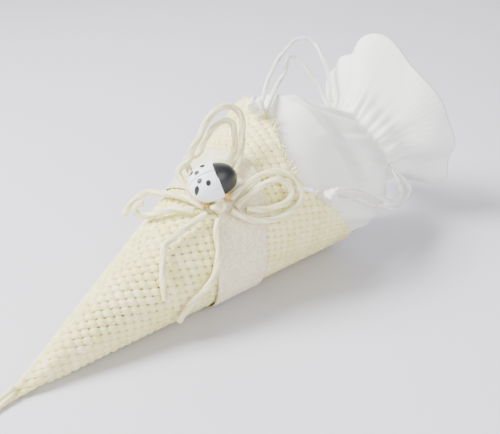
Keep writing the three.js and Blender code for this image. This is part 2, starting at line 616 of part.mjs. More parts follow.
// Places of the two knots in the drawstrings, and routes of the free cords, in this part's frame
const LEFT_KNOT = [-8.4, -0.3, 77.2];
const RIGHT_KNOT = [-4.9, -38.8, 45.4];
const ROUTES = {
  bow_loop_upper_outer: [TWINE, 9, [
    [-51.1, -12.4, 50.6], [-51.6, -9, 51.6], [-52, -5.1, 52.5], [-51.7, -0.5, 53.4], [-50.8, 3.3, 55.1],
    [-50.1, 6.2, 57.9], [-46.4, 3, 63.2], [-46.6, 1, 68.6], [-44.9, -1.3, 73.2], [-42.1, -1.4, 77.2],
    [-38.1, -1.6, 80.9], [-33.1, -2.5, 83], [-28.7, -4, 82.7], [-26, -6.1, 80], [-26.6, -8.4, 75.7],
    [-28.6, -9.8, 71.4], [-30.2, -11, 67.4], [-30.8, -10.8, 63.4], [-32.9, -11.5, 60.2],
    [-36.2, -12.7, 58.3]]],
  bow_loop_upper_inner: [TWINE, 7, [
    [-47.5, -12.4, 52.1], [-48.3, -10.3, 52.9], [-48.8, -7.3, 53.7], [-48.6, -3.7, 54.6],
    [-47.2, 0.5, 56.2], [-45.7, 4.7, 58.7], [-45.1, 6.9, 61.3], [-41.4, 2.6, 64.6], [-40.8, 0.2, 70],
    [-38.8, -2, 74.6], [-34.6, -2.7, 76.9], [-31, -3.9, 77.4], [-29.4, -5.5, 75.9], [-30.2, -7, 72.6],
    [-30.4, -7.7, 68.9], [-30.5, -7.4, 65.6], [-32.4, -7.5, 62.6], [-35.3, -8.4, 60.4],
    [-37.5, -9.4, 58.8]]],
  bow_loop_right_outer: [TWINE, 7, [
    [-44.8, -18, 51], [-39.4, -18.3, 53.6], [-34.3, -19.9, 56], [-29.9, -22.4, 58.3],
    [-25.4, -25.9, 59], [-22, -29.5, 57.3], [-19.6, -32.4, 53.8], [-19.7, -34.1, 49.4],
    [-22.3, -34.2, 45.3], [-27.1, -32.8, 43], [-32.9, -30.7, 41.7], [-38.3, -28.3, 42],
    [-43, -25.4, 43.7], [-45.8, -22.1, 45.9], [-46.9, -20.1, 47.1]]],
  bow_loop_right_inner: [TWINE, 5, [
    [-44.5, -20.4, 48], [-40.6, -20.8, 50.1], [-35.8, -22.5, 52.6], [-31.2, -24.9, 55.2],
    [-27.1, -27.6, 56.3], [-23.8, -30.4, 53.9], [-23.3, -32.2, 50.5], [-26, -31.9, 47.5],
    [-30.6, -29.9, 46.1], [-35.4, -27.7, 46], [-39.3, -25.7, 46.6], [-41.7, -23.7, 47.2]]],
  bow_tail_left: [TWINE, 4, [
    [-55.1, -14.3, 46.6], [-59.2, -12.6, 45.1], [-65.1, -11.2, 42.6], [-70.5, -10, 40.3],
    [-74.2, -9.7, 38.5], [-77.4, -11.8, 35.3], [-80.4, -14.4, 31.2], [-82.5, -16.6, 26.8],
    [-83.4, -18.4, 21.5]]],
  bow_tail_front: [TWINE, 4, [
    [-52.5, -18.2, 44.9], [-54.7, -19.2, 42.4], [-56.7, -21, 39], [-57.8, -22.9, 34.7],
    [-59.7, -24, 29.9], [-62.1, -24.2, 25.1], [-65.9, -23.5, 21], [-70.9, -22.2, 17.7],
    [-75.1, -20.6, 13.4], [-77.5, -18.9, 9.4]]],
  bow_tail_back: [TWINE, 4, [
    [-53.8, -11.4, 48.8], [-54.7, -8.1, 49.6], [-55.1, -4.3, 50.3], [-55.5, 0.2, 50.5],
    [-55.6, 6.1, 49.7], [-54.4, 12.1, 48.1], [-55.3, 18.3, 47], [-58, 20.4, 46.3], [-60.5, 21.8, 44.7],
    [-63.5, 22.8, 41.8], [-66.3, 23.4, 38.4]]],
  bow_tail_curl: [TWINE, 3, [
    [-57.1, -9.5, 47.8], [-59.3, -6.4, 47.7], [-61, -2.7, 47.5], [-63.5, 0.7, 46.4], [-65.9, 4.1, 44.9],
    [-66.8, 8, 43.4], [-68.7, 10.7, 43.5], [-69.3, 12.6, 45.6], [-67.7, 12.1, 47.4],
    [-65.9, 10.6, 47.9]]],
  left_drawstring_outer: [DRAWSTRING, 12, [
    [63.4, 10.4, 60.4], [65.7, 13.2, 63.4], [68.9, 15.9, 67.7], [71.8, 19.8, 73.6], [74.1, 24.9, 79.6],
    [74.7, 29.4, 84.6], [71.8, 33.2, 87.9], [65.4, 34.7, 88], [50.5, 29.1, 87.4], [38.5, 24.6, 85.6],
    [27.5, 19.4, 83.4], [16.8, 13.9, 81.2], [7.5, 8, 78.8], [-0.9, 2.8, 76.8], [-3.6, 1.2, 76]]],
  left_drawstring_inner: [DRAWSTRING, 9, [
    [55.1, 5.4, 60.1], [55.9, 9.2, 63.3], [56.4, 12.5, 67.6], [56.9, 15.8, 71.7], [56.2, 19.7, 75.8],
    [55.5, 23.7, 79.8], [54, 27.1, 82.3], [49.4, 27.4, 82.8], [41, 22.3, 81], [31, 16, 80.4],
    [19.2, 9.4, 80.2], [8, 3.9, 78], [-0.9, -0.5, 75.4], [-3.4, -1.8, 74.6]]],
  right_drawstring_outer: [DRAWSTRING, 8, [
    [60.7, -27.7, 36.9], [64.6, -33.2, 30.1], [66, -36.5, 25.3], [57.1, -39, 21.8], [45.6, -40.4, 22.5],
    [32.6, -41.3, 27.8], [19.1, -40.3, 34.9], [10.2, -40, 39.3], [2.3, -39.8, 42], [-1.6, -39.6, 43.4]]],
  right_drawstring_inner: [DRAWSTRING, 7, [
    [54.4, -32.6, 37.4], [54.8, -37.2, 31.6], [54.2, -38.6, 28], [47, -41, 26.4], [35.6, -42.6, 30.6],
    [21.9, -40.6, 38], [12.2, -39.6, 42.2], [4.3, -39.2, 45], [-0.8, -38.4, 46.3]]],
  knot_end_upper: [DRAWSTRING, 3, [
    [-12.1, -34.8, 48.4], [-14.5, -32.5, 49.2], [-17.9, -30.9, 49.4]]],
};

const part = new THREE.Group();

function addPiece(name, geometry, material) {
  const mesh = new THREE.Mesh(geometry, material);
  mesh.name = name;
  part.add(mesh);
}

addPiece('woven_cone', wovenCone(), STRAW);
addPiece('ribbon_band', ribbonBand(), RIBBON);
addPiece('drawstring_pouch', drawstringPouch(), MUSLIN);
addPiece('ladybird_button', ladybirdButton(), BUTTON_PAINT);
addPiece('glue_dab', glueDab(), GLUE);
const knotPlace = conePoint(BOW_KNOT_SLANT, BOW_KNOT_ANGLE, BAND_PROUD + 3 * GAP + RIBBON_THICKNESS + BOW_KNOT[2] / 2);
addPiece('bow_knot', knot(BOW_KNOT, knotPlace, AXIS, outward(BOW_KNOT_ANGLE), 3), TWINE_PAPER);

const knotUp = outward(0);
addPiece('left_drawstring_knot', knot(LEFT_KNOT_SIZE, new THREE.Vector3(...LEFT_KNOT), AXIS, knotUp, 2), STRING);
addPiece('right_drawstring_knot', knot(RIGHT_KNOT_SIZE, new THREE.Vector3(...RIGHT_KNOT), AXIS, outward(80), 2), STRING);
for (const [name, [diameter, steps, route]] of Object.entries(ROUTES)) {
  addPiece(name, cord(route, diameter, steps), diameter === TWINE ? TWINE_PAPER : STRING);
}

export default part;
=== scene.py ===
"""Dresses the straw cone bag: woven cone, ribbon, muslin pouch, twine bow, button and strings."""

import logging
import math
from dataclasses import dataclass
from enum import Enum
from typing import Callable

import bmesh
import bpy
import numpy as np
from mathutils import Matrix, Vector


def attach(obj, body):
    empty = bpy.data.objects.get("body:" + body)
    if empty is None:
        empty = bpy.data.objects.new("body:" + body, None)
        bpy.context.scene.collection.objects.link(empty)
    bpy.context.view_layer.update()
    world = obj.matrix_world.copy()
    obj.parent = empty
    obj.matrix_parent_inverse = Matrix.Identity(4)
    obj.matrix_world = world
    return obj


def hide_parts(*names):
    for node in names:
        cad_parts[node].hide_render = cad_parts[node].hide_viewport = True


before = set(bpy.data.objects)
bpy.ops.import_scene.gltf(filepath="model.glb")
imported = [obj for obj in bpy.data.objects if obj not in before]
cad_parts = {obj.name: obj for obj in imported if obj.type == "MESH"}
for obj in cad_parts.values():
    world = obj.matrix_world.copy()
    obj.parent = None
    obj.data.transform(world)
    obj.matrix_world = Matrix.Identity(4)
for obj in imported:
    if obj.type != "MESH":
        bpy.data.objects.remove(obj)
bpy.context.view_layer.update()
LOG = logging.getLogger("cone_bag")
MM = 0.001
SPAN_POINTS = 24
SHORTEST_CORD = 0.03
TENTHS = 10000
Points = np.ndarray
Tree = bpy.types.NodeTree
Socket = bpy.types.NodeSocket


@dataclass(frozen=True)
class ConeShape:
    """The cone that everything is placed on; lengths in millimetres, angles in degrees.

    A middle and a spread in degrees give the bell curve of the rim's dip and of the ribbon's pull.
    """

    half_angle: float = 13.4
    side: float = 181.0
    rim_dip: float = 32.0
    rim_bell: tuple[float, float] = (52.0, 62.0)
    ribbon_start: float = 106.0
    ribbon_lean: float = 10.0
    ribbon_lean_angle: float = 70.0
    ribbon_pull: float = 8.0
    ribbon_bell: tuple[float, float] = (30.0, 32.0)
    tip: tuple[float, float, float] = (-150.0, 0.0, -0.4)

    @property
    def half(self) -> float:
        """Half the opening angle, in radians."""
        return math.radians(self.half_angle)

    @property
    def axis(self) -> Points:
        """The direction from the tip to the mouth."""
        return np.array([math.cos(self.half), 0.0, math.sin(self.half)])

    def radial(self, angle: Points | float) -> Points:
        """Points away from the axis: 0 is the top, 90 the camera side and 180 the underside."""
        up, side = np.cos(np.radians(angle)), np.sin(np.radians(angle))
        return np.stack([-math.sin(self.half) * up, -side, math.cos(self.half) * up], axis=-1)

    def place(self, slant: Points | float, angle: Points | float, offset: Points | float) -> Points:
        """Gives points from the distance to the tip, the angle and the height over the surface.

        The point is tip + axis * (slant cos a - offset sin a) + radial * (slant sin a + offset cos a).

        Args:
            slant: Distance from the tip along the surface.
            angle: Angle about the axis.
            offset: Distance outwards from the surface.

        Returns:
            The points in millimetres, with the same leading shape.
        """
        slant, angle, offset = np.broadcast_arrays(
            np.asarray(slant, float), np.asarray(angle, float), np.asarray(offset, float)
        )
        along = slant * math.cos(self.half) - offset * math.sin(self.half)
        away = slant * math.sin(self.half) + offset * math.cos(self.half)
        return np.array(self.tip) + along[..., None] * self.axis + away[..., None] * self.radial(angle)

    def outward(self, angle: float) -> Points:
        """The surface's outward direction at an angle."""
        return self.radial(angle) * math.cos(self.half) - self.axis * math.sin(self.half)

    def rim(self, angle: Points) -> Points:
        """The slant of the rim, which dips on the camera side as a bell curve."""
        return self.side - self.rim_dip * bell(angle, *self.rim_bell)

    def ribbon_edge(self, angle: Points) -> Points:
        """The slant of the ribbon's lower edge: a lean plus a pull at the bow."""
        lean = self.ribbon_lean * np.cos(np.radians(angle + self.ribbon_lean_angle))
        return self.ribbon_start + lean + self.ribbon_pull * bell(angle, *self.ribbon_bell)


CONE = ConeShape()


def bell(angle: Points, centre: float, spread: float) -> Points:
    """A bell curve about an angle, exp(-(turn / spread)^2)."""
    turn = (np.asarray(angle) - centre + 540.0) % 360.0 - 180.0
    return np.exp(-((turn / spread) ** 2))


def ripple(x: Points, y: Points, seed: float) -> Points:
    """A smooth wandering field between -1 and 1: three sine waves added in turned directions."""
    waves = (
        np.sin(x * 1.0 + y * 0.7 + seed),
        np.sin(x * -0.61 + y * 1.13 + 2.3 * seed),
        np.sin(x * 1.71 - y * 1.37 + 4.1 * seed),
    )
    return (waves[0] + waves[1] + waves[2]) / 3.0


def hashed(a: Points, b: Points | float, seed: float) -> Points:
    """A repeatable scatter between 0 and 1, the fraction of a large sine."""
    value = np.sin(a * 127.1 + b * 311.7 + seed * 74.7) * 43758.5453
    return value - np.floor(value)


def share(value: Points) -> Points:
    """Limits values to the range from 0 to 1."""
    return np.clip(value, 0.0, 1.0)


def ring_angles(count: int) -> Points:
    """A row of even angles round a ring, in radians."""
    return np.linspace(0.0, 2 * np.pi, count, endpoint=False)[None]


def kept_above(points: Points, height: float) -> Points:
    """Lifts the points that lie lower than a height, in millimetres."""
    points[..., 2] = np.maximum(points[..., 2], height)
    return points


def eased(x: Points, stations: Points, values: Points) -> Points:
    """Smooth values between stations: a cubic with each slope taken from its neighbours."""
    slopes = np.gradient(values, stations)
    k = np.clip(np.searchsorted(stations, x, side="right") - 1, 0, len(stations) - 2)
    span = stations[k + 1] - stations[k]
    t = share((x - stations[k]) / span)
    start, end = (1 + 2 * t) * (1 - t) ** 2, t * t * (3 - 2 * t)
    lean, fall = t * (1 - t) ** 2 * span, t * t * (t - 1) * span
    return start * values[k] + end * values[k + 1] + lean * slopes[k] + fall * slopes[k + 1]


def smooth_route(points: Points, step: float) -> Points:
    """An even curve through points: each span is a cubic whose pace goes with the root of its length.

    Args:
        points: The points to pass through.
        step: The spacing of the result.

    Returns:
        Evenly spaced points on the curve.
    """
    ends = np.vstack([2 * points[0] - points[1], points, 2 * points[-1] - points[-2]])
    paces = np.sqrt(np.linalg.norm(np.diff(ends, axis=0), axis=1))
    knots = np.concatenate([[0.0], np.cumsum(paces)])
    curve = []
    for k in range(1, len(ends) - 2):
        t0, t1, t2, t3 = knots[k - 1 : k + 3]
        p0, p1, p2, p3 = ends[k - 1 : k + 3]
        t = np.linspace(t1, t2, SPAN_POINTS, endpoint=False)[:, None]
        a1 = (t1 - t) / (t1 - t0) * p0 + (t - t0) / (t1 - t0) * p1
        a2 = (t2 - t) / (t2 - t1) * p1 + (t - t1) / (t2 - t1) * p2
        a3 = (t3 - t) / (t3 - t2) * p2 + (t - t2) / (t3 - t2) * p3
        b1 = (t2 - t) / (t2 - t0) * a1 + (t - t0) / (t2 - t0) * a2
        b2 = (t3 - t) / (t3 - t1) * a2 + (t - t1) / (t3 - t1) * a3
        curve.append((t2 - t) / (t2 - t1) * b1 + (t - t1) / (t2 - t1) * b2)
    dense = np.vstack([*curve, points[-1:]])
    length = np.concatenate([[0.0], np.cumsum(np.linalg.norm(np.diff(dense, axis=0), axis=1))])
    at = np.linspace(0.0, length[-1], max(8, int(length[-1] / step)))
    return np.stack([np.interp(at, length, dense[:, k]) for k in range(3)], axis=-1)


class Ends(Enum):
    """How the two ends of a grid are finished."""

    OPEN = "open"
    LAST = "last"
    BOTH = "both"


def grid_piece(
    name: str,
    points: Points,
    wrap: bool = True,
    ends: Ends = Ends.OPEN,
    tint: Points | None = None,
    cloth: tuple[float, float] = (1.0, 1.0),
) -> bpy.types.Object:
    """Makes a surface from a grid of points: quads between neighbours, and fans over closed ends.

    Args:
        name: The piece's name.
        points: Rows by columns of points, in millimetres.
        wrap: Whether the last column joins the first.
        ends: Which end rows are closed by a fan.
        tint: Rows by columns of colours.
        cloth: The size of the UV map, in millimetres across and along.

    Returns:
        The object, standing at the origin.
    """
    rows, columns = points.shape[:2]
    across = columns if wrap else columns - 1
    r, c = np.mgrid[0 : rows - 1, 0:across]
    n = (c + 1) % columns
    here, above = r * columns, (r + 1) * columns
    quads = np.stack([here + c, above + c, above + n, here + n], -1)
    u = np.stack([c, c, c + 1, c + 1], -1) / across * cloth[0]
    v = np.stack([r, r + 1, r + 1, r], -1) / (rows - 1) * cloth[1]
    faces = quads.reshape(-1, 4).tolist()
    uvs = [np.stack([u, v], -1).reshape(-1, 2)]
    verts = [points.reshape(-1, 3)]
    tints = [] if tint is None else [tint.reshape(-1, tint.shape[-1])]
    closed = {Ends.OPEN: [], Ends.LAST: [rows - 1], Ends.BOTH: [0, rows - 1]}[ends]
    for row in closed:
        hub = sum(len(part) for part in verts)
        verts.append(points[row].mean(axis=0)[None])
        if tint is not None:
            tints.append(tint[row].mean(axis=0)[None])
        c = np.arange(columns)
        n = (c + 1) % columns
        pair = (c, n) if row else (n, c)
        fan = np.stack([pair[0] + row * columns, np.full(columns, hub), pair[1] + row * columns], -1)
        faces += fan.tolist()
        uvs.append(np.repeat(np.stack([c, c * 0 + row], -1) * 0.5, 3, axis=0))
    obj = mesh_piece(name, np.vstack(verts), faces, None if tint is None else np.vstack(tints))
    layer = obj.data.uv_layers.new(name="cloth")
    layer.data.foreach_set("uv", np.concatenate(uvs).astype(np.float32).ravel())
    return obj


def mesh_piece(
    name: str, verts: Points, faces: list[list[int]], tint: Points | None
) -> bpy.types.Object:
    """Puts points, faces and colours into a smooth-shaded object at the origin.

    Args:
        name: The piece's name.
        verts: Points in millimetres.
        faces: Lists of point numbers.
        tint: One colour for each point, or None.

    Returns:
        The object, linked to the scene.
    """
    mesh = bpy.data.meshes.new(name)
    mesh.from_pydata((verts * MM).tolist(), [], faces)
    mesh.polygons.foreach_set("use_smooth", np.ones(len(mesh.polygons), bool))
    if tint is not None:
        rgba = np.concatenate([tint[:, :3], np.ones((len(tint), 1))], axis=1)
        attribute = mesh.color_attributes.new(name="tint", type="FLOAT_COLOR", domain="POINT")
        attribute.data.foreach_set("color", rgba.astype(np.float32).ravel())
    mesh.update()
    obj = bpy.data.objects.new(name, mesh)
    bpy.context.scene.collection.objects.link(obj)
    return obj


def turn_outwards(obj: bpy.types.Object) -> bpy.types.Object:
    """Flips the faces of a closed surface whose signed volume is negative."""
    mesh = obj.data
    mesh.calc_loop_triangles()
    co = np.empty(len(mesh.vertices) * 3)
    mesh.vertices.foreach_get("co", co)
    corners = np.empty(len(mesh.loop_triangles) * 3, int)
    mesh.loop_triangles.foreach_get("vertices", corners)
    a, b, c = np.moveaxis(co.reshape(-1, 3)[corners.reshape(-1, 3)], 1, 0)
    if float((a * np.cross(b, c)).sum()) < 0.0:
        mesh.flip_normals()
    return obj


def tube_rings(path: Points, radius: Points) -> Points:
    """Carries a round profile along a path without twist.

    Each ring is centre + r (side cos p + lift sin p), where side is turned from ring to ring only as
    the path bends.

    Args:
        path: Points in millimetres.
        radius: Radii, a row for each point and a column for each side.

    Returns:
        The rings, rows by sides of points.
    """
    along = np.gradient(path, axis=0)
    along /= np.linalg.norm(along, axis=1)[:, None]
    side = np.zeros_like(along)
    start = np.cross(along[0], [0.3, 0.2, 0.93])
    side[0] = start / np.linalg.norm(start)
    for k in range(1, len(path)):
        lean = side[k - 1] - along[k] * (side[k - 1] @ along[k])
        side[k] = lean / np.linalg.norm(lean)
    lift = np.cross(along, side)
    p = ring_angles(radius.shape[1])[..., None]
    return path[:, None] + radius[..., None] * (side[:, None] * np.cos(p) + lift[:, None] * np.sin(p))


def noise(tree: Tree, place: bpy.types.Node, scale: float, detail: float) -> Socket:
    """Adds noise in object coordinates and gives its value."""
    made = tree.nodes.new("ShaderNodeTexNoise")
    made.inputs["Scale"].default_value = scale
    made.inputs["Detail"].default_value = detail
    tree.links.new(place.outputs["Object"], made.inputs["Vector"])
    return made.outputs["Fac"]


def multiplied(tree: Tree, colour: Socket, factor: Socket) -> Socket:
    """Multiplies a colour by another one or by a value."""
    soak = tree.nodes.new("ShaderNodeMix")
    soak.data_type = "RGBA"
    soak.blend_type = "MULTIPLY"
    soak.inputs["Factor"].default_value = 1.0
    tree.links.new(colour, soak.inputs["A"])
    tree.links.new(factor, soak.inputs["B"])
    return soak.outputs["Result"]


@dataclass(frozen=True)
class Finish:
    """A surface finish: two mottled colours, roughness, a fine grain and, for cloth, a weave with
    painted shade in its gaps.

    The mottle and the grain are noise scales, the depth is the bump's in metres and the thread is
    the weave's spacing in millimetres, with 0 for no weave.
    """

    name: str
    slot: str
    colour: tuple[float, float, float]
    shade: tuple[float, float, float]
    roughness: float = 0.8
    mottle: float = 120.0
    grain: float = 1800.0
    relief: float = 0.25
    depth: float = 0.0003
    coat: float = 0.0
    sheen: float = 0.0
    translucent: float = 0.0
    thread: float = 0.0
    tinted: bool = False

    def material(self) -> bpy.types.Material:
        """Builds the node tree.

        Returns:
            The material, made once: mottled colour, the tint if it is used, the weave with painted
                shade in its gaps and the bump.
        """
        found = bpy.data.materials.get(self.name)
        if found:
            return found
        made = bpy.data.materials.new(self.name)
        made.use_nodes = True
        tree = made.node_tree
        shader = tree.nodes["Principled BSDF"]
        constants = {
            "Roughness": self.roughness,
            "Coat Weight": self.coat,
            "Coat Roughness": 0.12,
            "Sheen Weight": self.sheen,
            "Sheen Roughness": 0.5,
            "Subsurface Weight": self.translucent,
            "Subsurface Radius": (0.004, 0.003, 0.002),
            "Subsurface Scale": 0.5,
        }
        for socket, value in constants.items():
            shader.inputs[socket].default_value = value
        place = tree.nodes.new("ShaderNodeTexCoord")
        spread = tree.nodes.new("ShaderNodeMapRange")
        spread.inputs["From Min"].default_value = 0.38
        spread.inputs["From Max"].default_value = 0.62
        tree.links.new(noise(tree, place, self.mottle, 4.0), spread.inputs["Value"])
        blend = tree.nodes.new("ShaderNodeMix")
        blend.data_type = "RGBA"
        blend.inputs["A"].default_value = (*self.shade, 1.0)
        blend.inputs["B"].default_value = (*self.colour, 1.0)
        tree.links.new(spread.outputs["Result"], blend.inputs["Factor"])
        colour = blend.outputs["Result"]
        if self.tinted:
            tint = tree.nodes.new("ShaderNodeAttribute")
            tint.attribute_name = "tint"
            colour = multiplied(tree, colour, tint.outputs["Color"])
        height = noise(tree, place, self.grain, 3.0)
        if self.thread:
            height = self.threads(tree, place, height)
            # Painted shade: the colour is darkened in the gaps between the threads.
            colour = self.painted_thread_shade(tree, height, colour)
        tree.links.new(colour, shader.inputs["Base Color"])
        bump = tree.nodes.new("ShaderNodeBump")
        bump.inputs["Strength"].default_value = self.relief
        bump.inputs["Distance"].default_value = self.depth
        tree.links.new(height, bump.inputs["Height"])
        tree.links.new(bump.outputs["Normal"], shader.inputs["Normal"])
        return made

    def threads(self, tree: Tree, place: bpy.types.Node, grain: Socket) -> Socket:
        """Adds the warp and the weft, two sets of waves on the UV map, to the grain.

        Args:
            tree: The material's nodes.
            place: The texture coordinate node.
            grain: The fine noise that the threads are added to.

        Returns:
            The summed height, from 0 to 3.
        """
        total = grain
        for direction in ("X", "Y"):
            wave = tree.nodes.new("ShaderNodeTexWave")
            wave.bands_direction = direction
            wave.inputs["Scale"].default_value = 0.314 / self.thread
            wave.inputs["Distortion"].default_value = 1.2
            wave.inputs["Detail"].default_value = 2.0
            tree.links.new(place.outputs["UV"], wave.inputs["Vector"])
            add = tree.nodes.new("ShaderNodeMath")
            add.operation = "ADD"
            tree.links.new(total, add.inputs[0])
            tree.links.new(wave.outputs["Fac"], add.inputs[1])
            total = add.outputs["Value"]
        return total

    @staticmethod
    def painted_thread_shade(tree: Tree, height: Socket, colour: Socket) -> Socket:
        """Paints shade into the gaps between the threads by darkening their colour.

        Args:
            tree: The material's nodes.
            height: The threads' height; below 0.5 the shade is full and over 1.6 there is none.
            colour: The colour of the threads.

        Returns:
            The shaded colour.
        """
        depth = tree.nodes.new("ShaderNodeMapRange")
        depth.inputs["From Min"].default_value = 0.5
        depth.inputs["From Max"].default_value = 1.6
        depth.inputs["To Min"].default_value = 0.6
        tree.links.new(height, depth.inputs["Value"])
        return multiplied(tree, colour, depth.outputs["Result"])


STRAW = Finish(
    "straw_paper", "straw", (0.95, 0.89, 0.5), (0.88, 0.81, 0.38),
    roughness=0.7, mottle=90, grain=1500, relief=0.4, depth=0.0003,
    translucent=0.08, tinted=True,
)
GROSGRAIN = Finish(
    "grosgrain", "ribbon", (0.96, 0.88, 0.64), (0.8, 0.71, 0.48),
    roughness=0.75, mottle=700, grain=2500, relief=0.8, depth=0.0004,
    sheen=0.3, tinted=True,
)
MUSLIN = Finish(
    "muslin", "muslin", (0.99, 0.975, 0.93), (0.82, 0.8, 0.75),
    roughness=0.9, mottle=260, grain=1400, relief=1.0, depth=0.0008,
    sheen=0.15, translucent=0.05, thread=1.5, tinted=True,
)
STRING = Finish(
    "cotton_string", "string", (0.99, 0.98, 0.94), (0.86, 0.85, 0.8),
    roughness=0.8, mottle=300, grain=3000, relief=0.4, depth=0.0003,
    sheen=0.2, tinted=True,
)
TWINE = Finish(
    "paper_twine", "twine", (0.98, 0.94, 0.62), (0.88, 0.82, 0.46),
    roughness=0.65, mottle=260, grain=2600, relief=0.5, depth=0.0003,
    tinted=True,
)
ENAMEL = Finish(
    "button_enamel", "painted_wood", (0.9, 0.92, 0.95), (0.87, 0.9, 0.94),
    roughness=0.42, mottle=80, grain=900, relief=0.05, depth=0.0001,
    coat=0.05, tinted=True,
)
GLUE = Finish(
    "amber_glue", "glue", (0.62, 0.36, 0.04), (0.5, 0.27, 0.03),
    roughness=0.15, mottle=200, grain=600, relief=0.1, depth=0.0002,
    coat=0.8,
)
FLOOR = Finish(
    "pale_floor", "", (0.66, 0.65, 0.71), (0.65, 0.64, 0.7),
    roughness=0.55, mottle=3, grain=200, relief=0.02, depth=0.0002,
)


def dress(obj: bpy.types.Object, finish: Finish, *nodes: str) -> bpy.types.Object:
    """Gives a piece its finish, lets it ride on the part and stand for CAD nodes.

    Args:
        obj: The new piece.
        finish: Its finish.
        nodes: CAD nodes that it replaces.

    Returns:
        The same piece.
    """
    obj.data.materials.clear()
    obj.data.materials.append(finish.material())
    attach(obj, "root")
    if nodes:
        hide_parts(*nodes)
    LOG.info("%s: %d faces", obj.name, len(obj.data.polygons))
    return obj


@dataclass
class Studio:
    """The pale floor, the soft lamps, the sky and the camera at the photograph's angle.

    Lengths are in metres, angles in degrees. A lamp has a name, a place, a size and a power in watts.
    """

    eye: tuple[float, float, float] = (-0.26764, -0.21922, 0.18288)
    right: tuple[float, float, float] = (0.65115, -0.75896, 0.0)
    up: tuple[float, float, float] = (0.32075, 0.27519, 0.90631)
    back: tuple[float, float, float] = (-0.68784, -0.59014, 0.42262)
    across: float = 34.0
    floor_size: float = 3.0
    floor_level: float = -0.00002
    aim: tuple[float, float, float] = (0.0, 0.0, 0.04)
    sky: tuple[float, float, float, float] = (0.93, 0.94, 1.0, 1.0)
    sky_strength: float = 0.45
    lamps: tuple[tuple[str, tuple[float, float, float], float, float], ...] = (
        ("key", (-0.5, 0.45, 0.75), 0.5, 34.0),
        ("fill", (-0.35, -0.85, 0.5), 0.8, 11.0),
        ("rim", (0.7, 0.5, 0.6), 0.8, 6.0),
    )

    def build(self) -> None:
        """Sets the camera first, then the floor, the lamps and the sky."""
        self.camera()
        half = self.floor_size / 2
        corners = [[(x, y, self.floor_level) for x in (-half, half)] for y in (-half, half)]
        floor = grid_piece("floor", np.array(corners) / MM, wrap=False)
        floor.data.flip_normals()
        floor.data.materials.append(FLOOR.material())
        for lamp in self.lamps:
            self.lamp(*lamp)
        world = bpy.data.worlds.new("sky")
        world.use_nodes = True
        sky = world.node_tree.nodes["Background"]
        sky.inputs["Color"].default_value = self.sky
        sky.inputs["Strength"].default_value = self.sky_strength
        bpy.context.scene.world = world

    def camera(self) -> None:
        """Stands the camera at the eye, looking along the photograph's line of sight."""
        data = bpy.data.cameras.new("camera")
        data.sensor_fit = "HORIZONTAL"
        data.angle = math.radians(self.across)
        data.clip_start = 0.01
        camera = bpy.data.objects.new("camera", data)
        bpy.context.scene.collection.objects.link(camera)
        turn = Matrix([self.right, self.up, self.back]).transposed().to_4x4()
        camera.matrix_world = Matrix.Translation(self.eye) @ turn
        bpy.context.scene.camera = camera

    def lamp(self, name: str, place: tuple[float, float, float], size: float, power: float) -> None:
        """Hangs a square soft lamp that faces the part.

        Args:
            name: The lamp's name.
            place: Where it hangs, in metres.
            size: Its side, in metres.
            power: Its power, in watts.
        """
        data = bpy.data.lights.new(name, "AREA")
        data.shape, data.size, data.energy = "SQUARE", size, power
        lamp = bpy.data.objects.new(name, data)
        lamp.location = place
        line = Vector(self.aim) - Vector(place)
        lamp.rotation_euler = line.to_track_quat("-Z", "Y").to_euler()
        bpy.context.scene.collection.objects.link(lamp)


@dataclass(frozen=True)
class Strands:
    """A make of cord: its thickness, free and knotted, its strands and their turn per millimetre."""

    finish: Finish
    diameter: float
    knotted: float
    count: int
    pace: float


class Lay(Enum):
    """The cords' makes."""

    TWINE = Strands(TWINE, 2.8, 2.5, 3, 0.2)
    STRING = Strands(STRING, 2.2, 2.1, 2, 0.12)


@dataclass(frozen=True)
class CordPiece:
    """A free cord: its make, its far end and the points that it passes through, in metres."""

    name: str
    make: Lay
    far_end: str
    route: tuple[tuple[float, float, float], ...]
    step: float = 0.55
    sides: int = 20

    @property
    def diameter(self) -> float:
        """The cord's thickness in millimetres."""
        return self.make.value.diameter

    def build(self) -> bpy.types.Object:
        """Twists the strands along the route.

        The radius is r (0.78 + 0.22 g^0.6) and a slight ripple, where g = |cos(n (p - q s) / 2)| is
        the groove between n strands that turn q for each millimetre. The colour is darkened in the
        grooves as painted shade.

        Returns:
            The cord.
        """
        strands = self.make.value
        path = smooth_route(np.array(self.route) / MM, self.step)
        p = ring_angles(self.sides)
        s = np.linspace(0.0, self.step * len(path), len(path))[:, None]
        groove = np.abs(np.cos(strands.count / 2 * (p - strands.pace * s)))
        uneven = 0.03 * ripple(s * 1.3, p * 3, 1.7)
        rings = tube_rings(path, self.diameter / 2 * (0.78 + 0.22 * groove ** 0.6 + uneven))
        # Painted shade: the colour is darkened in the grooves between the strands.
        shade = (0.66 + 0.34 * groove ** 0.5) * (0.95 + 0.05 * ripple(s * 2.1, p * 4, 0.4))
        tint = np.stack([shade, shade ** 1.05, shade ** 1.3], axis=-1)
        cloth = (6.28, float(s[-1, 0]))
        obj = grid_piece(self.name + "_strands", rings, ends=Ends.BOTH, tint=tint, cloth=cloth)
        dress(turn_outwards(obj), strands.finish, self.name)
        length = float(np.linalg.norm(np.diff(path, axis=0), axis=1).sum()) * MM
        if length >= SHORTEST_CORD:
            self.diameter * MM
        LOG.info("%s is %.0f mm long", self.name, length / MM)
        return obj


